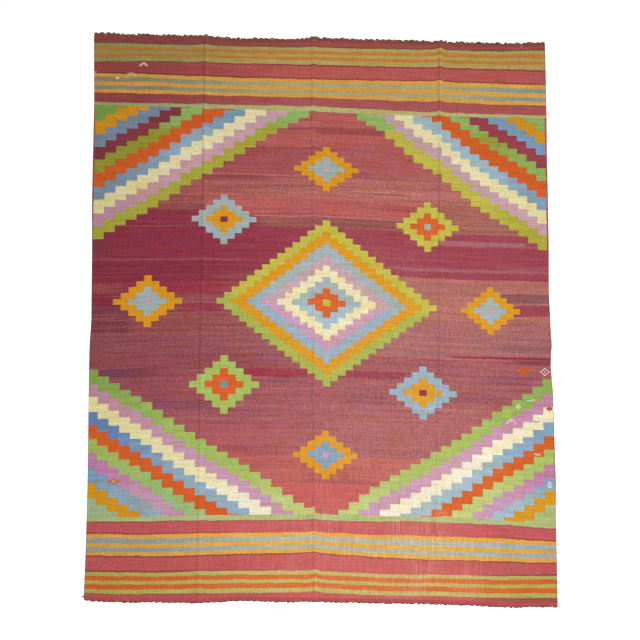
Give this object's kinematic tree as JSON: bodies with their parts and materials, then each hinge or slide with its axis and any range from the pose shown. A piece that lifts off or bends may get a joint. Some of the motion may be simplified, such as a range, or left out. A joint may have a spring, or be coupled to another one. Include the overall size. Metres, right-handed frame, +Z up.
{
  "type": "kilim rug",
  "caption": "Large flat-woven wool rug with stepped diamonds and striped ends, laid open, with soft fold creases and knotted warp ends.",
  "frame": {"origin": "on the floor, under the middle of the whole rug", "axes": "X runs across the rug to the right, +Y along it to the head end, +Z up"},
  "size_m": [2.421, 2.9994, 0.01],
  "materials": {
    "woven_wool": "weft-faced tapestry weave in matt hand-dyed wool, madder red with many coloured bands",
    "warp_knots": "knotted and plaited warp ends in undyed tan and dark brown wool"
  },
  "bodies": {
    "root": {"kilim_cloth": "woven_wool", "head_end_finish": "warp_knots", "foot_end_finish": "warp_knots"}
  },
  "joints": []
}
